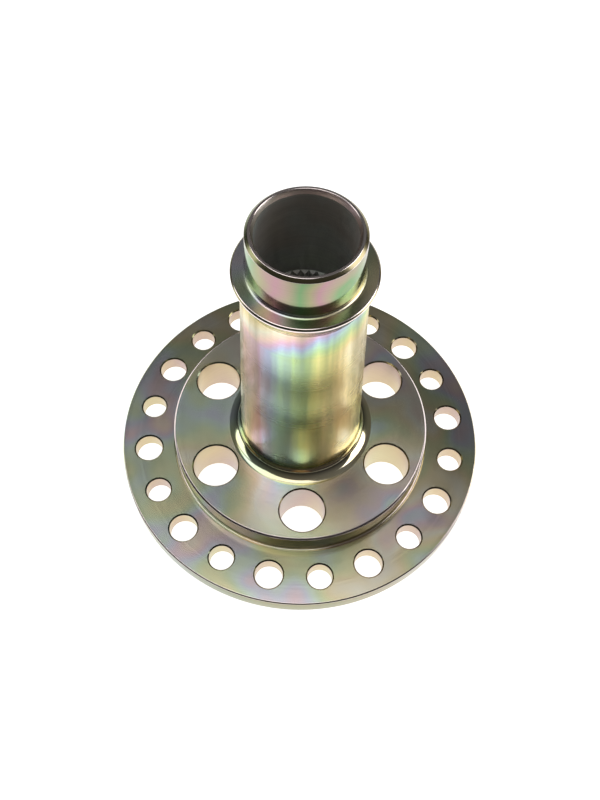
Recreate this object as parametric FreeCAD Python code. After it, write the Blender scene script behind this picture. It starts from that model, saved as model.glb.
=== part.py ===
"""Full spool for a bevel-gear drive axle, turned and drilled from one steel forging.

Millimetres, +Z along the spin axis. The origin is where the spin axis crosses the seat that the
ring gear is bolted to, so the bearing tube stands above z = 0 and the short hub hangs below it.
One bolt hole and one web hole lie on +X.
"""
import FreeCAD
import Part

import math
import os

# ---- ring-gear flange ----
FLANGE_RADIUS = 88.9
FLANGE_THICKNESS = 8.8
FLANGE_TOP_CHAMFER = 0.5
FLANGE_BOTTOM_CHAMFER = 0.6

# ---- ring-gear bolt holes: two sizes take turns on one circle ----
BOLT_CIRCLE_RADIUS = 76.0
BOLT_HOLES_PER_SIZE = 10
LARGE_BOLT_HOLE_RADIUS = 6.55
SMALL_BOLT_HOLE_RADIUS = 5.85
BOLT_HOLE_CHAMFER = 0.7

# ---- raised web; its rim is the pilot that centres the ring gear ----
PILOT_RADIUS = 62.25
PILOT_HEIGHT = 12.0
PILOT_CHAMFER = 0.8
SEAT_GROOVE_DEPTH = 0.5
SEAT_GROOVE_FLOOR_WIDTH = 0.7
SEAT_GROOVE_SLOPE_WIDTH = 0.5
WEB_HOLE_COUNT = 6
WEB_HOLE_CIRCLE_RADIUS = 47.4
WEB_HOLE_RADIUS = 10.6
WEB_HOLE_CHAMFER = 0.7

# ---- bearing journals, the same at both ends ----
JOURNAL_RADIUS = 22.62
JOURNAL_LENGTH = 21.1
JOURNAL_ROOT_ROUND = 1.4
JOURNAL_END_CHAMFER = 1.3
JOURNAL_END_LAND = 1.0
SHOULDER_RADIUS = 28.65
SHOULDER_CHAMFER = 0.65
COLLAR_THICKNESS = 2.1
TUBE_SHOULDER_Z = 132.4
HUB_SHOULDER_Z = -13.0
HUB_ROOT_ROUND = 2.0

# ---- tapered tube between the web and the upper shoulder ----
TUBE_RADIUS_AT_WEB = 29.05
TUBE_RADIUS_AT_FLARE = 25.3
FLARE_HEIGHT = 6.0
FLARE_ROUND = 5.0
TUBE_ROOT_ROUND = 6.0

# ---- bore: a plain counterbore at each end, a 35-tooth 24-pitch spline between them ----
BORE_RADIUS = 19.3
BORE_LEAD_IN_DEPTH = 2.0
COUNTERBORE_DEPTH = 46.5
SPLINE_TEETH = 35
SPLINE_PITCH_RADIUS = SPLINE_TEETH * 25.4 / 24.0 / 2.0
SPLINE_MAJOR_RADIUS = 19.15
SPLINE_MINOR_RADIUS = 18.0
SPLINE_END_CHAMFER = 1.0
SPLINE_FLANK_ANGLE = math.radians(45.0)

# ---- heights that follow from the values above ----
TUBE_END_Z = TUBE_SHOULDER_Z + JOURNAL_LENGTH
HUB_END_Z = HUB_SHOULDER_Z - JOURNAL_LENGTH
COLLAR_BOTTOM_Z = TUBE_SHOULDER_Z - COLLAR_THICKNESS
SPLINE_TOP_Z = TUBE_END_Z - COUNTERBORE_DEPTH
SPLINE_BOTTOM_Z = HUB_END_Z + COUNTERBORE_DEPTH

TOOL_OVERSHOOT = 1.0
SPIN_AXIS = FreeCAD.Vector(0, 0, 1)
ORIGIN = FreeCAD.Vector(0, 0, 0)


def rounded_corner(previous, corner, following, radius):
    """Tangent arc that replaces a corner: its start, middle and end points."""
    to_previous = (previous - corner).normalize()
    to_following = (following - corner).normalize()
    half_angle = to_previous.getAngle(to_following) / 2.0
    tangent_length = radius / math.tan(half_angle)
    bisector = (to_previous + to_following).normalize()
    centre = corner + bisector * (radius / math.sin(half_angle))
    start = corner + to_previous * tangent_length
    end = corner + to_following * tangent_length
    middle = centre - bisector * radius
    return start, middle, end


def revolved(outline):
    """Turned solid from a closed outline of (radius, height) or (radius, height, rounding)."""
    corners = [FreeCAD.Vector(point[0], 0, point[1]) for point in outline]
    roundings = [point[2] if len(point) > 2 else 0.0 for point in outline]
    count = len(corners)
    edges = []
    first_point = None
    last_point = None
    for index in range(count):
        corner = corners[index]
        start, middle, end = corner, None, corner
        if roundings[index] > 0.0:
            following = corners[(index + 1) % count]
            start, middle, end = rounded_corner(corners[index - 1], corner, following, roundings[index])
        if last_point is not None:
            edges.append(Part.makeLine(last_point, start))
        if middle is not None:
            edges.append(Part.Arc(start, middle, end).toShape())
        if first_point is None:
            first_point = start
        last_point = end
    edges.append(Part.makeLine(last_point, first_point))
    face = Part.Face(Part.Wire(edges))
    return face.revolve(ORIGIN, SPIN_AXIS, 360)


def spool_blank():
    """The turned part: flange, web, tube, both journals and the stepped bore."""
    land_outer_radius = JOURNAL_RADIUS - JOURNAL_END_CHAMFER
    land_inner_radius = land_outer_radius - JOURNAL_END_LAND
    groove_floor_radius = PILOT_RADIUS + SEAT_GROOVE_FLOOR_WIDTH
    groove_outer_radius = groove_floor_radius + SEAT_GROOVE_SLOPE_WIDTH
    shoulder_face_radius = SHOULDER_RADIUS - SHOULDER_CHAMFER
    tube_side = [
        (land_inner_radius, TUBE_END_Z),
        (land_outer_radius, TUBE_END_Z),
        (JOURNAL_RADIUS, TUBE_END_Z - JOURNAL_END_CHAMFER),
        (JOURNAL_RADIUS, TUBE_SHOULDER_Z, JOURNAL_ROOT_ROUND),
        (shoulder_face_radius, TUBE_SHOULDER_Z),
        (SHOULDER_RADIUS, TUBE_SHOULDER_Z - SHOULDER_CHAMFER),
        (SHOULDER_RADIUS, COLLAR_BOTTOM_Z + SHOULDER_CHAMFER),
        (shoulder_face_radius, COLLAR_BOTTOM_Z),
        (TUBE_RADIUS_AT_FLARE, COLLAR_BOTTOM_Z - FLARE_HEIGHT, FLARE_ROUND),
        (TUBE_RADIUS_AT_WEB, PILOT_HEIGHT, TUBE_ROOT_ROUND),
    ]
    flange = [
        (PILOT_RADIUS - PILOT_CHAMFER, PILOT_HEIGHT),
        (PILOT_RADIUS, PILOT_HEIGHT - PILOT_CHAMFER),
        (PILOT_RADIUS, -SEAT_GROOVE_DEPTH),
        (groove_floor_radius, -SEAT_GROOVE_DEPTH),
        (groove_outer_radius, 0.0),
        (FLANGE_RADIUS - FLANGE_TOP_CHAMFER, 0.0),
        (FLANGE_RADIUS, -FLANGE_TOP_CHAMFER),
        (FLANGE_RADIUS, FLANGE_BOTTOM_CHAMFER - FLANGE_THICKNESS),
        (FLANGE_RADIUS - FLANGE_BOTTOM_CHAMFER, -FLANGE_THICKNESS),
    ]
    hub_side = [
        (SHOULDER_RADIUS, -FLANGE_THICKNESS, HUB_ROOT_ROUND),
        (SHOULDER_RADIUS, HUB_SHOULDER_Z + SHOULDER_CHAMFER),
        (shoulder_face_radius, HUB_SHOULDER_Z),
        (JOURNAL_RADIUS, HUB_SHOULDER_Z, JOURNAL_ROOT_ROUND),
        (JOURNAL_RADIUS, HUB_END_Z + JOURNAL_END_CHAMFER),
        (land_outer_radius, HUB_END_Z),
        (land_inner_radius, HUB_END_Z),
    ]
    bore = [
        (BORE_RADIUS, HUB_END_Z + BORE_LEAD_IN_DEPTH),
        (BORE_RADIUS, SPLINE_BOTTOM_Z),
        (SPLINE_MAJOR_RADIUS, SPLINE_BOTTOM_Z),
        (SPLINE_MINOR_RADIUS, SPLINE_BOTTOM_Z + SPLINE_END_CHAMFER),
        (SPLINE_MINOR_RADIUS, SPLINE_TOP_Z - SPLINE_END_CHAMFER),
        (SPLINE_MAJOR_RADIUS, SPLINE_TOP_Z),
        (BORE_RADIUS, SPLINE_TOP_Z),
        (BORE_RADIUS, TUBE_END_Z - BORE_LEAD_IN_DEPTH),
    ]
    return revolved(tube_side + flange + hub_side + bore)


def drill(hole_radius, chamfer, top_z):
    """Cutter for one through hole on the spin axis, countersunk at both mouths."""
    wide_radius = hole_radius + chamfer + TOOL_OVERSHOOT
    bottom_z = -FLANGE_THICKNESS
    return revolved([
        (0.0, top_z + TOOL_OVERSHOOT),
        (wide_radius, top_z + TOOL_OVERSHOOT),
        (hole_radius, top_z - chamfer),
        (hole_radius, bottom_z + chamfer),
        (wide_radius, bottom_z - TOOL_OVERSHOOT),
        (0.0, bottom_z - TOOL_OVERSHOOT),
    ])


def ring_of_holes(cutter, count, circle_radius, first_angle):
    """Copies of a cutter spread evenly round the spin axis; angles in degrees."""
    copies = []
    for index in range(count):
        hole = cutter.copy()
        hole.translate(FreeCAD.Vector(circle_radius, 0, 0))
        hole.rotate(ORIGIN, SPIN_AXIS, first_angle + index * 360.0 / count)
        copies.append(hole)
    return copies


def spline_cutter():
    """Star-shaped bar whose points cut the spaces between the spline teeth."""
    tooth_step = 2.0 * math.pi / SPLINE_TEETH
    half_space_at_pitch = math.pi * SPLINE_PITCH_RADIUS / SPLINE_TEETH / 2.0
    flank_slope = math.tan(SPLINE_FLANK_ANGLE)
    root_radius = SPLINE_MINOR_RADIUS - 0.05
    half_root = half_space_at_pitch + (SPLINE_PITCH_RADIUS - root_radius) * flank_slope
    half_tip = half_space_at_pitch - (SPLINE_MAJOR_RADIUS - SPLINE_PITCH_RADIUS) * flank_slope
    corners = []
    for tooth in range(SPLINE_TEETH):
        centre_angle = tooth * tooth_step
        for radius, half_width in (
            (root_radius, -half_root),
            (SPLINE_MAJOR_RADIUS, -half_tip),
            (SPLINE_MAJOR_RADIUS, half_tip),
            (root_radius, half_root),
        ):
            angle = centre_angle + half_width / radius
            x = radius * math.cos(angle)
            y = radius * math.sin(angle)
            corners.append(FreeCAD.Vector(x, y, SPLINE_BOTTOM_Z))
    face = Part.Face(Part.makePolygon(corners + corners[:1]))
    return face.extrude(SPIN_AXIS * (SPLINE_TOP_Z - SPLINE_BOTTOM_Z))


def differential_spool():
    """The finished spool: turned blank, spline broached, bolt and web holes drilled."""
    large_drill = drill(LARGE_BOLT_HOLE_RADIUS, BOLT_HOLE_CHAMFER, 0.0)
    small_drill = drill(SMALL_BOLT_HOLE_RADIUS, BOLT_HOLE_CHAMFER, 0.0)
    web_drill = drill(WEB_HOLE_RADIUS, WEB_HOLE_CHAMFER, PILOT_HEIGHT)
    half_step = 180.0 / BOLT_HOLES_PER_SIZE
    cutters = [spline_cutter()]
    cutters += ring_of_holes(large_drill, BOLT_HOLES_PER_SIZE, BOLT_CIRCLE_RADIUS, 0.0)
    cutters += ring_of_holes(small_drill, BOLT_HOLES_PER_SIZE, BOLT_CIRCLE_RADIUS, half_step)
    cutters += ring_of_holes(web_drill, WEB_HOLE_COUNT, WEB_HOLE_CIRCLE_RADIUS, 0.0)
    return spool_blank().cut(cutters)


os.makedirs("parts", exist_ok=True)

PARTS = {
    "differential_spool": differential_spool(),
}

for name, shape in PARTS.items():
    if shape.ShapeType == "Compound" and len(shape.Solids) == 1:
        shape = shape.Solids[0]
    assert shape.isValid() and len(shape.Solids) == 1, name
    shape.exportStep("parts/" + name + ".step")
    box = shape.BoundBox
    print(name, "%.1f x %.1f x %.1f mm" % (box.XLength, box.YLength, box.ZLength),
          "z %.1f to %.1f" % (box.ZMin, box.ZMax), "volume %.0f mm3" % shape.Volume)
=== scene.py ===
"""Looks of the full spool: a lathe-turned steel part with an iridescent yellow zinc plating.

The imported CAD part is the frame. The spool is rebuilt on it as a finer mesh, in metres and in the
same place, with the small edge breaks that a machinist leaves on every corner.
"""

import math
from typing import NamedTuple

import bmesh
import bpy
from mathutils import Matrix, Vector


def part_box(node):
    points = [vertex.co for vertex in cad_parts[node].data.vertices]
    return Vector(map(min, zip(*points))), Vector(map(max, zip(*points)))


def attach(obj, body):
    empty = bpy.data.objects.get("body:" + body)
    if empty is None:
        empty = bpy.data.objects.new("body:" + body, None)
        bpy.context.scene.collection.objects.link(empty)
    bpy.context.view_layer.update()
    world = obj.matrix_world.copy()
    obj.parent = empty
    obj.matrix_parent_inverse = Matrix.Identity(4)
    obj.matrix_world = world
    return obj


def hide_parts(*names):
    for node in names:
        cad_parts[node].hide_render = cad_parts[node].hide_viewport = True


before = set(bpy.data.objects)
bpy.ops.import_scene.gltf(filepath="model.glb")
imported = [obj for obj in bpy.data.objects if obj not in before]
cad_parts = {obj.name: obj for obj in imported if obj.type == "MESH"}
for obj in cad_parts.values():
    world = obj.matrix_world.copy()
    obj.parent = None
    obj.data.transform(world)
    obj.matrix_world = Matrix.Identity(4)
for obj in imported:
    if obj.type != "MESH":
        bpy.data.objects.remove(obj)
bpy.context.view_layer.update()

MM = 0.001
NODE = "differential_spool"
low_corner, high_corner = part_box(NODE)

# ---- dimensions of the spool, in millimetres; the origin is on the ring-gear seat ----
# The flange is the widest circle that fits in the CAD part's box.
FLANGE_RADIUS = min(-low_corner.x, -low_corner.y, high_corner.x, high_corner.y) / MM
TUBE_END_Z = high_corner.z / MM
HUB_END_Z = low_corner.z / MM
FLANGE_THICKNESS = 8.8
FLANGE_TOP_CHAMFER = 0.5
FLANGE_BOTTOM_CHAMFER = 0.6
BOLT_CIRCLE_RADIUS = 76.0
BOLT_HOLES_PER_SIZE = 10
LARGE_BOLT_HOLE_RADIUS = 6.55
SMALL_BOLT_HOLE_RADIUS = 5.85
BOLT_HOLE_CHAMFER = 0.7
PILOT_RADIUS = 62.25
PILOT_HEIGHT = 12.0
PILOT_CHAMFER = 0.8
SEAT_GROOVE_DEPTH = 0.5
SEAT_GROOVE_FLOOR_WIDTH = 0.7
SEAT_GROOVE_SLOPE_WIDTH = 0.5
WEB_HOLE_COUNT = 6
WEB_HOLE_CIRCLE_RADIUS = 47.4
WEB_HOLE_RADIUS = 10.6
WEB_HOLE_CHAMFER = 0.7
JOURNAL_RADIUS = 22.62
JOURNAL_LENGTH = 21.1
JOURNAL_ROOT_ROUND = 1.4
JOURNAL_END_CHAMFER = 1.3
JOURNAL_END_LAND = 1.0
SHOULDER_RADIUS = 28.65
SHOULDER_CHAMFER = 0.65
COLLAR_THICKNESS = 2.1
HUB_ROOT_ROUND = 2.0
TUBE_RADIUS_AT_WEB = 29.05
TUBE_RADIUS_AT_FLARE = 25.3
FLARE_HEIGHT = 6.0
FLARE_ROUND = 5.0
TUBE_ROOT_ROUND = 6.0
BORE_RADIUS = 19.3
BORE_LEAD_IN_DEPTH = 2.0
COUNTERBORE_DEPTH = 46.5
SPLINE_TEETH = 35
SPLINE_PITCH_RADIUS = SPLINE_TEETH * 25.4 / 24.0 / 2.0
SPLINE_MAJOR_RADIUS = 19.15
SPLINE_MINOR_RADIUS = 18.0
SPLINE_END_CHAMFER = 1.0
SPLINE_FLANK_ANGLE = math.radians(45.0)

TUBE_SHOULDER_Z = TUBE_END_Z - JOURNAL_LENGTH
HUB_SHOULDER_Z = HUB_END_Z + JOURNAL_LENGTH
COLLAR_BOTTOM_Z = TUBE_SHOULDER_Z - COLLAR_THICKNESS
SPLINE_TOP_Z = TUBE_END_Z - COUNTERBORE_DEPTH
SPLINE_BOTTOM_Z = HUB_END_Z + COUNTERBORE_DEPTH

# ---- rounds of the corners that the CAD part leaves sharp, in millimetres ----
EDGE_BREAK = 0.25
LAND_ROUND = 0.35
LINE_ROUND = 0.5

# ---- mesh fineness and cutters; lengths in millimetres ----
LATHE_STEPS = 240
HOLE_STEPS = 72
ARC_STEP = math.radians(11.0)
ON_AXIS = 1e-9
DRILL_OVERSHOOT = 1.0
BROACH_OVERLAP = 0.05
BROACH_OVERSHOOT = 0.01
SMOOTH_ANGLE = math.radians(28.0)
LEVEL_FACE_COSINE = 0.99999

# ---- surface zones, in material order ----
# Several zones are the same plated steel, lightened for painted highlights or darkened for painted shade.
FACED, TUBE, JOURNAL, PAINTED_SHADE, POLISHED, BORED, DRILLED, LEAD_IN_HIGHLIGHT, EDGE_HIGHLIGHT, WEB_HIGHLIGHT = range(10)

# How far from the foot of the tube the web's own finish starts, just past the root fillet; that finish is
# also lightened, a painted highlight.
WEB_HIGHLIGHT_START = 5.9

# ---- chromate film ----
# Azimuth in the part frame, from which the film gets thicker both ways round the axis.
FILM_SEAM_AZIMUTH = math.radians(207.5)

# Angles from the seam, and heights on the tube in millimetres, between which the film changes.
FILM_TURN = (0.05 * math.pi, 0.75 * math.pi)
FILM_RISE = (108.0, 127.0)

# Fine clouds in the film: how many per metre, and how much of a colour cycle they shift it by.
FINE_CLOUDS_PER_METRE = 60.0
FINE_CLOUD_GAIN = 0.06

# Runs down the tube are clouds drawn out along it; they also darken and lighten the steel.
RUNS_PER_METRE = 150.0
RUN_STRETCH = (1.0, 1.0, 0.05)
RUN_CONTRAST = 1.1
RUN_NOISE_RANGE = (0.3, 0.7)

# Colours that a yellow chromate film runs through as it gets thicker; the last joins the first.
FILM_COLOURS = [
    (0.00, (0.80, 0.76, 0.60)),
    (0.14, (0.80, 0.58, 0.50)),
    (0.26, (0.62, 0.40, 0.58)),
    (0.36, (0.42, 0.48, 0.72)),
    (0.46, (0.42, 0.64, 0.58)),
    (0.58, (0.44, 0.62, 0.30)),
    (0.70, (0.62, 0.64, 0.24)),
    (0.82, (0.76, 0.62, 0.28)),
    (0.92, (0.82, 0.72, 0.46)),
    (1.00, (0.80, 0.76, 0.60)),
]
THICK_FILM_COLOURS = [
    (0.00, (0.84, 0.50, 0.62)),
    (0.25, (0.70, 0.62, 0.48)),
    (0.50, (0.40, 0.70, 0.38)),
    (0.75, (0.74, 0.70, 0.46)),
    (1.00, (0.84, 0.50, 0.62)),
]
BARE_PLATING = (0.60, 0.59, 0.44, 1)

# ---- turning marks, which follow radius plus height; MARK_HEIGHT is in millimetres ----
MARKS_PER_METRE = 900.0
MARK_DETAIL = 3.0
BROAD_MARKS_PER_METRE = 160.0
BROAD_MARK_HEIGHT = 1.5
MARK_HEIGHT = 0.01
MARK_NOISE_RANGE = (0.7, 1.3)
MARK_SHADE = (0.94, 1.04)
MARK_ROUGHNESS = (0.92, 1.08)

# ---- floor: metres and radiance ----
# Its light fades in between two places along the view, and out between two distances from the axis.
FLOOR_HALF_SIZE = 4.0
FLOOR_CLOUDS_PER_METRE = 6.0
FLOOR_NOISE_RANGE = (0.3, 0.7)
FLOOR_SHADES = (0.6, 0.62)
FLOOR_ROUGHNESS = 0.9
FLOOR_FRONT_EDGE = (-0.25, -0.15)
FLOOR_FADE = (0.4, 2.0)
FLOOR_GLOW = 0.90
FLOOR_FAR_GLOW = 0.30
FLOOR_UNLIT = 0.12

# ---- camera: azimuth 0 looks along +Y ----
CAMERA_AZIMUTH = math.radians(27.5)
CAMERA_ELEVATION = math.radians(60.08)
CAMERA_ROLL = math.radians(1.785)
CAMERA_DISTANCE = 448.56 * MM
CAMERA_OFFSET_RIGHT = -0.54 * MM
CAMERA_OFFSET_UP = 16.32 * MM
CAMERA_LENS = 39.88
CAMERA_NEAREST = 0.01

# ---- light: metres; the room gets lighter from near the horizon to near overhead ----
LIGHT_TARGET = Vector((0, 0, 0.03))
ROOM_FADE = (0.2, 0.9)
ROOM_GREY_LOW = 0.03
ROOM_GREY_HIGH = 0.13


def rounded(previous, corner, following, radius):
    """Points of the tangent arc that replaces a corner of an outline."""
    to_previous = (previous - corner).normalized()
    to_following = (following - corner).normalized()
    half_angle = to_previous.angle(to_following) / 2
    tangent_length = radius / math.tan(half_angle)
    bisector = (to_previous + to_following).normalized()
    centre = corner + bisector * (radius / math.sin(half_angle))
    start = corner + to_previous * tangent_length - centre
    end = corner + to_following * tangent_length - centre
    sweep = start.angle_signed(end)
    steps = max(2, math.ceil(abs(sweep) / ARC_STEP))
    points = []
    for step in range(steps + 1):
        points.append(centre + Matrix.Rotation(-sweep * step / steps, 2) @ start)
    return points


def smooth_outline(outline):
    """Outline of (radius, height, zone, rounding) as (point, zone) pairs with every corner rounded.

    A corner whose round is no larger than LINE_ROUND gets the edge zone, whose lightened steel paints a
    highlight line along the round.
    """
    corners = [Vector(entry[:2]) for entry in outline]
    points = []
    for index, entry in enumerate(outline):
        zone = entry[2]
        radius = entry[3] if len(entry) > 3 else EDGE_BREAK
        corner = corners[index]
        if radius == 0:
            points.append((corner, zone))
            continue
        following = corners[(index + 1) % len(corners)]
        arc = rounded(corners[index - 1], corner, following, radius)
        arc_zone = EDGE_HIGHLIGHT if radius <= LINE_ROUND else zone
        for point in arc[:-1]:
            points.append((point, arc_zone))
        points.append((arc[-1], zone))
    return points


def lathe(name, points, steps, closed):
    """Solid turned from (point, zone) pairs; a face takes the zone of the point its strip starts at."""
    mesh = bmesh.new()
    rings = []
    for point, _ in points:
        radius, height = point.x * MM, point.y * MM
        if radius < ON_AXIS:
            rings.append([mesh.verts.new((0, 0, height))] * steps)
            continue
        ring = []
        for step in range(steps):
            angle = 2 * math.pi * step / steps
            ring.append(mesh.verts.new((radius * math.cos(angle), radius * math.sin(angle), height)))
        rings.append(ring)
    strips = len(rings) if closed else len(rings) - 1
    for strip in range(strips):
        upper, lower = rings[strip], rings[(strip + 1) % len(rings)]
        for step in range(steps):
            after = (step + 1) % steps
            loop = []
            for vertex in (upper[step], lower[step], lower[after], upper[after]):
                if vertex not in loop:
                    loop.append(vertex)
            if len(loop) > 2:
                mesh.faces.new(loop).material_index = points[strip][1]
    return finished(name, mesh)


def finished(name, mesh):
    """Blender object from a bmesh, with its normals facing out."""
    bmesh.ops.recalc_face_normals(mesh, faces=mesh.faces)
    data = bpy.data.meshes.new(name)
    mesh.to_mesh(data)
    mesh.free()
    piece = bpy.data.objects.new(name, data)
    bpy.context.scene.collection.objects.link(piece)
    return piece


def spool_outline():
    """Half section of the spool, from the top of the tube round the outside and back up the bore."""
    land_outer = JOURNAL_RADIUS - JOURNAL_END_CHAMFER
    land_inner = land_outer - JOURNAL_END_LAND
    groove_floor = PILOT_RADIUS + SEAT_GROOVE_FLOOR_WIDTH
    groove_outer = groove_floor + SEAT_GROOVE_SLOPE_WIDTH
    shoulder_face = SHOULDER_RADIUS - SHOULDER_CHAMFER
    tube_side = [
        (land_inner, TUBE_END_Z, EDGE_HIGHLIGHT, LAND_ROUND),
        (land_outer, TUBE_END_Z, PAINTED_SHADE, LAND_ROUND),
        (JOURNAL_RADIUS, TUBE_END_Z - JOURNAL_END_CHAMFER, JOURNAL),
        (JOURNAL_RADIUS, TUBE_SHOULDER_Z, FACED, JOURNAL_ROOT_ROUND),
        (shoulder_face, TUBE_SHOULDER_Z, PAINTED_SHADE, LINE_ROUND),
        (SHOULDER_RADIUS, TUBE_SHOULDER_Z - SHOULDER_CHAMFER, EDGE_HIGHLIGHT),
        (SHOULDER_RADIUS, COLLAR_BOTTOM_Z + SHOULDER_CHAMFER, PAINTED_SHADE),
        (shoulder_face, COLLAR_BOTTOM_Z, POLISHED),
        (TUBE_RADIUS_AT_FLARE, COLLAR_BOTTOM_Z - FLARE_HEIGHT, TUBE, FLARE_ROUND),
        (TUBE_RADIUS_AT_WEB, PILOT_HEIGHT, POLISHED, TUBE_ROOT_ROUND),
        (TUBE_RADIUS_AT_WEB + WEB_HIGHLIGHT_START, PILOT_HEIGHT, WEB_HIGHLIGHT, 0),
    ]
    flange = [
        (PILOT_RADIUS - PILOT_CHAMFER, PILOT_HEIGHT, EDGE_HIGHLIGHT),
        (PILOT_RADIUS, PILOT_HEIGHT - PILOT_CHAMFER, PAINTED_SHADE),
        (PILOT_RADIUS, -SEAT_GROOVE_DEPTH, POLISHED),
        (groove_floor, -SEAT_GROOVE_DEPTH, POLISHED),
        (groove_outer, 0.0, FACED),
        (FLANGE_RADIUS - FLANGE_TOP_CHAMFER, 0.0, POLISHED),
        (FLANGE_RADIUS, -FLANGE_TOP_CHAMFER, PAINTED_SHADE),
        (FLANGE_RADIUS, FLANGE_BOTTOM_CHAMFER - FLANGE_THICKNESS, POLISHED),
        (FLANGE_RADIUS - FLANGE_BOTTOM_CHAMFER, -FLANGE_THICKNESS, FACED),
    ]
    hub_side = [
        (SHOULDER_RADIUS, -FLANGE_THICKNESS, PAINTED_SHADE, HUB_ROOT_ROUND),
        (SHOULDER_RADIUS, HUB_SHOULDER_Z + SHOULDER_CHAMFER, POLISHED),
        (shoulder_face, HUB_SHOULDER_Z, FACED),
        (JOURNAL_RADIUS, HUB_SHOULDER_Z, JOURNAL, JOURNAL_ROOT_ROUND),
        (JOURNAL_RADIUS, HUB_END_Z + JOURNAL_END_CHAMFER, JOURNAL),
        (land_outer, HUB_END_Z, JOURNAL),
        (land_inner, HUB_END_Z, JOURNAL),
    ]
    bore = [
        (BORE_RADIUS, HUB_END_Z + BORE_LEAD_IN_DEPTH, BORED),
        (BORE_RADIUS, SPLINE_BOTTOM_Z, BORED, 0),
        (SPLINE_MAJOR_RADIUS, SPLINE_BOTTOM_Z, BORED, 0),
        (SPLINE_MINOR_RADIUS, SPLINE_BOTTOM_Z + SPLINE_END_CHAMFER, BORED, 0),
        (SPLINE_MINOR_RADIUS, SPLINE_TOP_Z - SPLINE_END_CHAMFER, BORED, 0),
        (SPLINE_MAJOR_RADIUS, SPLINE_TOP_Z, BORED, 0),
        (BORE_RADIUS, SPLINE_TOP_Z, BORED, 0),
        (BORE_RADIUS, TUBE_END_Z - BORE_LEAD_IN_DEPTH, LEAD_IN_HIGHLIGHT),
    ]
    return tube_side + flange + hub_side + bore


def drill(hole_radius, chamfer, top_z):
    """Cutter for one through hole on the spin axis, countersunk at both mouths."""
    wide = hole_radius + chamfer + DRILL_OVERSHOOT
    bottom_z = -FLANGE_THICKNESS
    outline = [
        (0.0, top_z + DRILL_OVERSHOOT, DRILLED, 0),
        (wide, top_z + DRILL_OVERSHOOT, PAINTED_SHADE, 0),
        (hole_radius, top_z - chamfer, DRILLED),
        (hole_radius, bottom_z + chamfer, PAINTED_SHADE),
        (wide, bottom_z - DRILL_OVERSHOOT, DRILLED, 0),
        (0.0, bottom_z - DRILL_OVERSHOOT, DRILLED, 0),
    ]
    return lathe("drill", smooth_outline(outline), HOLE_STEPS, closed=False)


def spline_cutter():
    """Star-shaped bar whose points cut the spaces between the spline teeth."""
    half_space_at_pitch = math.pi * SPLINE_PITCH_RADIUS / SPLINE_TEETH / 2
    flank_slope = math.tan(SPLINE_FLANK_ANGLE)
    root_radius = SPLINE_MINOR_RADIUS - BROACH_OVERLAP
    half_root = half_space_at_pitch + (SPLINE_PITCH_RADIUS - root_radius) * flank_slope
    half_tip = half_space_at_pitch - (SPLINE_MAJOR_RADIUS - SPLINE_PITCH_RADIUS) * flank_slope
    bottom = (SPLINE_BOTTOM_Z - BROACH_OVERSHOOT) * MM
    length = (SPLINE_TOP_Z - SPLINE_BOTTOM_Z + 2 * BROACH_OVERSHOOT) * MM
    mesh = bmesh.new()
    corners = []
    for tooth in range(SPLINE_TEETH):
        for radius, half_width in (
            (root_radius, -half_root),
            (SPLINE_MAJOR_RADIUS, -half_tip),
            (SPLINE_MAJOR_RADIUS, half_tip),
            (root_radius, half_root),
        ):
            angle = 2 * math.pi * tooth / SPLINE_TEETH + half_width / radius
            x = radius * math.cos(angle) * MM
            y = radius * math.sin(angle) * MM
            corners.append(mesh.verts.new((x, y, bottom)))
    floor_face = mesh.faces.new(corners)
    raised = bmesh.ops.extrude_face_region(mesh, geom=[floor_face])
    top_vertices = [item for item in raised["geom"] if isinstance(item, bmesh.types.BMVert)]
    bmesh.ops.translate(mesh, verts=top_vertices, vec=(0, 0, length))
    for face in mesh.faces:
        face.material_index = BORED
    return finished("broach", mesh)


def ring_of_holes(cutter, count, circle_radius, first_angle):
    """Copies of a cutter spread evenly round the spin axis; the original is removed."""
    copies = []
    for index in range(count):
        hole = cutter.copy()
        bpy.context.scene.collection.objects.link(hole)
        angle = first_angle + 2 * math.pi * index / count
        outward = Matrix.Translation((circle_radius * MM, 0, 0))
        hole.matrix_world = Matrix.Rotation(angle, 4, "Z") @ outward
        copies.append(hole)
    bpy.data.objects.remove(cutter)
    return copies


def joined(name, pieces):
    """One mesh object from several, with their places applied; the pieces are removed."""
    mesh = bmesh.new()
    for piece in pieces:
        placed = piece.data.copy()
        placed.transform(piece.matrix_world)
        mesh.from_mesh(placed)
        bpy.data.meshes.remove(placed)
        bpy.data.objects.remove(piece)
    return finished(name, mesh)


def applied(piece):
    """Bakes a piece's modifiers into its mesh."""
    graph = bpy.context.evaluated_depsgraph_get()
    baked = bpy.data.meshes.new_from_object(piece.evaluated_get(graph))
    piece.modifiers.clear()
    piece.data = baked
    return piece


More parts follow.
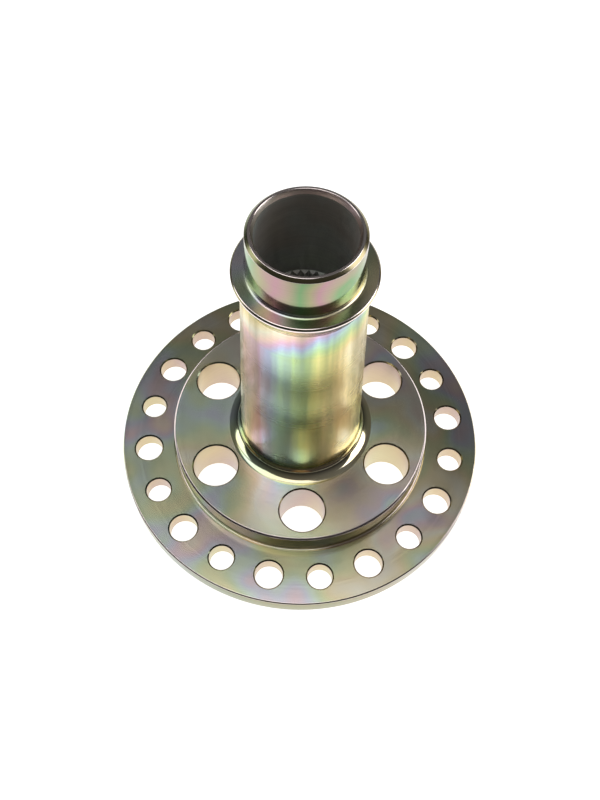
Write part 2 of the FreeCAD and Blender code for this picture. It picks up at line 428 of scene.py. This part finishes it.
def build_spool():
    """The turned blank with its spline and its holes cut out of it."""
    spool = lathe("spool_body", smooth_outline(spool_outline()), LATHE_STEPS, closed=True)
    half_step = math.pi / BOLT_HOLES_PER_SIZE
    large = drill(LARGE_BOLT_HOLE_RADIUS, BOLT_HOLE_CHAMFER, 0.0)
    small = drill(SMALL_BOLT_HOLE_RADIUS, BOLT_HOLE_CHAMFER, 0.0)
    web = drill(WEB_HOLE_RADIUS, WEB_HOLE_CHAMFER, PILOT_HEIGHT)
    cutters = [spline_cutter()]
    cutters += ring_of_holes(large, BOLT_HOLES_PER_SIZE, BOLT_CIRCLE_RADIUS, 0.0)
    cutters += ring_of_holes(small, BOLT_HOLES_PER_SIZE, BOLT_CIRCLE_RADIUS, half_step)
    cutters += ring_of_holes(web, WEB_HOLE_COUNT, WEB_HOLE_CIRCLE_RADIUS, 0.0)
    bpy.context.view_layer.update()
    cutter = joined("cutter", cutters)
    for material in zone_materials():
        spool.data.materials.append(material)
        cutter.data.materials.append(material)
    cut = spool.modifiers.new("cut", "BOOLEAN")
    cut.operation = "DIFFERENCE"
    cut.solver = "MANIFOLD"
    cut.object = cutter
    applied(spool)
    bpy.data.objects.remove(cutter)
    spool.data.shade_smooth()
    spool.data.set_sharp_from_angle(angle=SMOOTH_ANGLE)
    flatten_level_faces(spool.data)
    return spool


def flatten_level_faces(mesh):
    """Gives the corners of every level face its own normal, so that the turned faces shade flat."""
    normals = [corner.vector.copy() for corner in mesh.corner_normals]
    for polygon in mesh.polygons:
        if abs(polygon.normal.z) < LEVEL_FACE_COSINE:
            continue
        for corner in polygon.loop_indices:
            normals[corner] = polygon.normal.copy()
    mesh.normals_split_custom_set(normals)


class Nodes:
    """Short way to write a material's node tree."""

    def __init__(self, name):
        self.material = bpy.data.materials.new(name)
        self.material.use_nodes = True
        self.tree = self.material.node_tree
        self.tree.nodes.clear()

    def add(self, kind, **settings):
        node = self.tree.nodes.new("ShaderNode" + kind)
        for key, value in settings.items():
            setattr(node, key, value)
        return node

    def put(self, socket, value):
        """Links an output socket, or sets a plain number or colour."""
        if isinstance(value, bpy.types.NodeSocket):
            self.tree.links.new(value, socket)
        else:
            socket.default_value = value

    def split(self, vector):
        """The three axes of a vector."""
        node = self.add("SeparateXYZ")
        self.put(node.inputs[0], vector)
        return tuple(node.outputs)

    def math(self, operation, first, second=0.0, third=0.0):
        node = self.add("Math", operation=operation)
        for socket, value in zip(node.inputs, (first, second, third)):
            self.put(socket, value)
        return node.outputs[0]

    def noise(self, vector, per_metre):
        """Soft clouds, from 0 to 1 and mostly near the middle."""
        node = self.add("TexNoise")
        self.put(node.inputs["Vector"], vector)
        node.inputs["Scale"].default_value = per_metre
        node.inputs["Detail"].default_value = 2.0
        node.inputs["Roughness"].default_value = 0.5
        return node.outputs["Fac"]

    def lines(self, coordinate, per_metre, detail=2.0):
        """Value that changes along one coordinate only, like the marks of a turning tool."""
        node = self.add("TexNoise", noise_dimensions="1D")
        self.put(node.inputs["W"], coordinate)
        node.inputs["Scale"].default_value = per_metre
        node.inputs["Detail"].default_value = detail
        return node.outputs["Fac"]

    def mapped(self, value, from_low, from_high, to_low, to_high):
        node = self.add("MapRange")
        for socket, number in zip(node.inputs, (value, from_low, from_high, to_low, to_high)):
            self.put(socket, number)
        return node.outputs["Result"]

    def mix(self, factor, first, second, blend="MIX"):
        node = self.add("Mix", data_type="RGBA", blend_type=blend)
        self.put(node.inputs["Factor"], factor)
        self.put(node.inputs[6], first)
        self.put(node.inputs[7], second)
        return node.outputs[2]

    def ramp(self, value, stops):
        node = self.add("ValToRGB")
        elements = node.color_ramp.elements
        while len(elements) < len(stops):
            elements.new(1.0)
        for element, (place, colour) in zip(elements, stops):
            element.position = place
            element.color = (*colour, 1)
        self.put(node.inputs["Fac"], value)
        return node.outputs["Color"]

    def surfaced(self, shader):
        """The material, with the shader as its surface."""
        output = self.add("OutputMaterial")
        self.put(output.inputs["Surface"], shader.outputs[0])
        return self.material


class Film(NamedTuple):
    """Where in its colour cycle a film starts, and how far each pattern moves it along."""

    colours: list = FILM_COLOURS
    start: float = 0.0
    round_gain: float = 0.0
    rise_gain: float = 0.0
    cloud_gain: float = 0.0
    clouds_per_metre: float = 30.0
    run_gain: float = 0.0
    strength: float = 1.0


def film_place(nodes, place, height, film, fine_clouds, runs):
    """Place of each point in the colour cycle, before it wraps round."""
    turned_place = nodes.add("VectorRotate", rotation_type="Z_AXIS")
    nodes.put(turned_place.inputs["Vector"], place)
    turned_place.inputs["Angle"].default_value = -FILM_SEAM_AZIMUTH
    turned_axes = nodes.split(turned_place.outputs[0])
    turn = nodes.math("ABSOLUTE", nodes.math("ARCTAN2", turned_axes[1], turned_axes[0]))
    around = nodes.mapped(turn, *FILM_TURN, 0.0, 1.0)
    rise = nodes.mapped(height, FILM_RISE[0] * MM, FILM_RISE[1] * MM, 0.0, 1.0)
    clouds = nodes.noise(place, film.clouds_per_metre)
    value = nodes.math("MULTIPLY_ADD", around, film.round_gain, film.start)
    for pattern, gain in (
        (rise, film.rise_gain),
        (clouds, film.cloud_gain),
        (fine_clouds, FINE_CLOUD_GAIN),
        (runs, film.run_gain),
    ):
        value = nodes.math("MULTIPLY_ADD", pattern, gain, value)
    return value


def plated_steel(name, roughness, anisotropy, film, tint, marking=0.05):
    """Turned steel under a chromate film whose thickness, and so colour, wanders over the part."""
    nodes = Nodes(name)
    place = nodes.add("TexCoord").outputs["Object"]
    x, y, z = nodes.split(place)
    squares = nodes.math("ADD", nodes.math("MULTIPLY", x, x), nodes.math("MULTIPLY", y, y))
    turning = nodes.math("ADD", nodes.math("SQRT", squares), z)
    marks = nodes.lines(turning, MARKS_PER_METRE, MARK_DETAIL)
    broad_marks = nodes.lines(turning, BROAD_MARKS_PER_METRE)
    fine_clouds = nodes.noise(place, FINE_CLOUDS_PER_METRE)
    drawn_out = nodes.add("VectorMath", operation="MULTIPLY")
    nodes.put(drawn_out.inputs[0], place)
    drawn_out.inputs[1].default_value = RUN_STRETCH
    runs = nodes.noise(drawn_out.outputs[0], RUNS_PER_METRE)

    value = film_place(nodes, place, z, film, fine_clouds, runs)
    colour = nodes.ramp(nodes.math("FRACT", value), film.colours)
    colour = nodes.mix(film.strength, BARE_PLATING, colour)
    colour = nodes.mix(1.0, colour, (*tint, 1), "MULTIPLY")
    contrast = RUN_CONTRAST * film.run_gain
    run_shade = nodes.mapped(runs, *RUN_NOISE_RANGE, 1.0 - contrast, 1.0 + contrast)
    mark_noise = nodes.math("ADD", marks, fine_clouds)
    mark_shade = nodes.mapped(mark_noise, *MARK_NOISE_RANGE, *MARK_SHADE)
    colour = nodes.mix(1.0, colour, nodes.math("MULTIPLY", mark_shade, run_shade), "MULTIPLY")

    broad_noise = nodes.math("ADD", broad_marks, fine_clouds)
    smooth, rough = (roughness * factor for factor in MARK_ROUGHNESS)
    bump = nodes.add("Bump")
    bump.inputs["Strength"].default_value = marking
    bump.inputs["Distance"].default_value = MARK_HEIGHT * MM
    nodes.put(bump.inputs["Height"], nodes.math("MULTIPLY_ADD", broad_marks, BROAD_MARK_HEIGHT, marks))
    tangent = nodes.add("Tangent", direction_type="RADIAL", axis="Z")
    shader = nodes.add("BsdfPrincipled")
    nodes.put(shader.inputs["Base Color"], colour)
    shader.inputs["Metallic"].default_value = 1.0
    nodes.put(shader.inputs["Roughness"], nodes.mapped(broad_noise, *MARK_NOISE_RANGE, smooth, rough))
    shader.inputs["Anisotropic"].default_value = anisotropy
    nodes.put(shader.inputs["Tangent"], tangent.outputs[0])
    nodes.put(shader.inputs["Normal"], bump.outputs[0])
    return nodes.surfaced(shader)


def zone_materials():
    """One material per surface zone, in the order of the zone numbers."""
    return [
        plated_steel(
            "faced_steel", roughness=0.23, anisotropy=0.8, tint=(1.02, 0.99, 1.05),
            film=Film(start=0.1, cloud_gain=3.0, clouds_per_metre=20.0, strength=0.42),
        ),
        plated_steel(
            "tube_steel", roughness=0.26, anisotropy=1.0, tint=(0.98, 0.97, 0.92), marking=0.0,
            film=Film(
                start=-0.26, round_gain=0.92, rise_gain=-0.55, cloud_gain=0.15, run_gain=0.3, strength=0.9,
            ),
        ),
        plated_steel(
            "journal_steel", roughness=0.12, anisotropy=0.5, tint=(0.54, 0.54, 0.48),
            film=Film(
                THICK_FILM_COLOURS, start=-0.7, round_gain=2.2, cloud_gain=1.5, clouds_per_metre=40.0,
            ),
        ),
        # Darkened copy of the steel on side walls, chamfers and countersinks: painted shade.
        plated_steel(
            "painted_shade_steel", roughness=0.20, anisotropy=0.5, tint=(0.45, 0.42, 0.38),
            film=Film(round_gain=0.3, cloud_gain=1.0, clouds_per_metre=16.0, strength=0.5),
        ),
        plated_steel(
            "polished_steel", roughness=0.10, anisotropy=0.3, tint=(1.1, 1.08, 1.15),
            film=Film(start=0.05, round_gain=0.2, cloud_gain=1.0, strength=0.5),
        ),
        plated_steel(
            "bored_steel", roughness=0.65, anisotropy=0.2, tint=(0.90, 0.92, 1.0),
            film=Film(cloud_gain=0.6, strength=0.2),
        ),
        plated_steel(
            "drilled_steel", roughness=0.32, anisotropy=0.3, tint=(0.84, 0.84, 0.64),
            film=Film(start=0.72, cloud_gain=0.8, clouds_per_metre=16.0, strength=0.7),
        ),
        # Rougher steel on the bore's lead-in, lightened: the roughness catches the soft boxes, the
        # lightening is a painted highlight.
        plated_steel(
            "lead_in_highlight_steel", roughness=0.30, anisotropy=0.3, tint=(1.25, 1.25, 1.40),
            film=Film(start=0.80, round_gain=0.2, cloud_gain=0.3, strength=0.7),
        ),
        # Glossy steel on the small rounds, the land and the collar side, lightened past plain steel: a
        # real gloss with a painted highlight line.
        plated_steel(
            "edge_highlight_steel", roughness=0.12, anisotropy=0.0, tint=(1.35, 1.30, 1.60),
            film=Film(cloud_gain=0.1, strength=0.4),
        ),
        # Like the faced steel with a little more roughness, and lightened: a painted highlight on the web.
        plated_steel(
            "web_highlight_steel", roughness=0.25, anisotropy=0.75, tint=(1.20, 1.21, 1.32),
            film=Film(start=0.3, cloud_gain=3.0, clouds_per_metre=20.0, strength=0.4),
        ),
    ]


def floor_material():
    """White acrylic lit from below; the lit part ends in front of the spool."""
    nodes = Nodes("floor_acrylic")
    place = nodes.add("TexCoord").outputs["Object"]
    clouds = nodes.noise(place, FLOOR_CLOUDS_PER_METRE)
    shade = nodes.mapped(clouds, *FLOOR_NOISE_RANGE, *FLOOR_SHADES)
    distance = nodes.add("VectorMath", operation="LENGTH")
    nodes.put(distance.inputs[0], place)
    lit = nodes.mapped(nodes.split(place)[1], *FLOOR_FRONT_EDGE, FLOOR_UNLIT, 1.0)
    glow = nodes.mapped(distance.outputs["Value"], *FLOOR_FADE, FLOOR_GLOW, FLOOR_FAR_GLOW)
    glow = nodes.math("MULTIPLY", glow, lit)
    shader = nodes.add("BsdfPrincipled")
    nodes.put(shader.inputs["Base Color"], shade)
    shader.inputs["Roughness"].default_value = FLOOR_ROUGHNESS
    shader.inputs["Emission Color"].default_value = (1.0, 1.0, 1.0, 1.0)
    nodes.put(shader.inputs["Emission Strength"], glow)
    return nodes.surfaced(shader)


def add_floor():
    """Pale floor just under the hub."""
    mesh = bmesh.new()
    bmesh.ops.create_grid(mesh, x_segments=2, y_segments=2, size=FLOOR_HALF_SIZE)
    floor = finished("floor", mesh)
    floor.location.z = low_corner.z
    floor.rotation_euler.z = CAMERA_AZIMUTH
    floor.data.materials.append(floor_material())


def camera_axes():
    """Right, up and back vectors of a level camera at the chosen azimuth and elevation."""
    turn = Matrix.Rotation(CAMERA_AZIMUTH, 3, "Z")
    right = turn @ Vector((1, 0, 0))
    up = turn @ Vector((0, math.sin(CAMERA_ELEVATION), math.cos(CAMERA_ELEVATION)))
    back = turn @ Vector((0, -math.cos(CAMERA_ELEVATION), math.sin(CAMERA_ELEVATION)))
    return right, up, back


def add_camera():
    """The scene camera, rolled a little about its own axis."""
    right, up, back = camera_axes()
    place = right * CAMERA_OFFSET_RIGHT + up * CAMERA_OFFSET_UP + back * CAMERA_DISTANCE
    rolled_right = right * math.cos(CAMERA_ROLL) + up * math.sin(CAMERA_ROLL)
    rolled_up = up * math.cos(CAMERA_ROLL) - right * math.sin(CAMERA_ROLL)
    turn = Matrix((rolled_right, rolled_up, back)).transposed()
    camera = bpy.data.objects.new("camera", bpy.data.cameras.new("camera"))
    camera.data.lens = CAMERA_LENS
    camera.data.clip_start = CAMERA_NEAREST
    camera.matrix_world = Matrix.Translation(place) @ turn.to_4x4()
    bpy.context.scene.collection.objects.link(camera)
    bpy.context.scene.camera = camera


def add_softbox(name, side, front, height, width, depth, watts):
    """Area light aimed at the middle of the spool.

    side and front are as the camera sees them. depth runs from front to back. width runs across it,
    which is up and down for a box at the side.
    """
    turn = Matrix.Rotation(CAMERA_AZIMUTH, 3, "Z")
    place = turn @ Vector((side, -front, height))
    back = (place - LIGHT_TARGET).normalized()
    across = (turn @ Vector((0, 1, 0))).cross(back).normalized()
    light = bpy.data.lights.new(name, "AREA")
    light.shape = "RECTANGLE"
    light.size = width
    light.size_y = depth
    light.energy = watts
    lamp = bpy.data.objects.new(name, light)
    lamp.location = place
    lamp.rotation_euler = Matrix((across, back.cross(across), back)).transposed().to_euler()
    bpy.context.scene.collection.objects.link(lamp)


def add_light():
    """A dim room and three soft boxes."""
    world = bpy.data.worlds.new("studio")
    bpy.context.scene.world = world
    world.use_nodes = True
    tree = world.node_tree
    direction = tree.nodes.new("ShaderNodeTexCoord")
    axes = tree.nodes.new("ShaderNodeSeparateXYZ")
    tree.links.new(direction.outputs["Generated"], axes.inputs[0])
    height = tree.nodes.new("ShaderNodeMapRange")
    tree.links.new(axes.outputs[2], height.inputs["Value"])
    height.inputs["From Min"].default_value = ROOM_FADE[0]
    height.inputs["From Max"].default_value = ROOM_FADE[1]
    height.inputs["To Min"].default_value = ROOM_GREY_LOW
    height.inputs["To Max"].default_value = ROOM_GREY_HIGH
    backdrop = tree.nodes["Background"]
    backdrop.inputs["Color"].default_value = (1, 1, 1, 1)
    tree.links.new(height.outputs["Result"], backdrop.inputs["Strength"])
    add_softbox("overhead", side=-0.24, front=0.08, height=1.2, width=0.84, depth=0.84, watts=3.6)
    add_softbox("left", side=-1.0, front=-0.12, height=0.66, width=1.0, depth=0.45, watts=2.7)
    add_softbox("right", side=1.0, front=-0.06, height=0.66, width=1.0, depth=0.66, watts=7.2)
    bpy.context.scene.view_settings.view_transform = "Standard"


spool = build_spool()
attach(spool, "root")
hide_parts(NODE)
add_floor()
add_light()
add_camera()
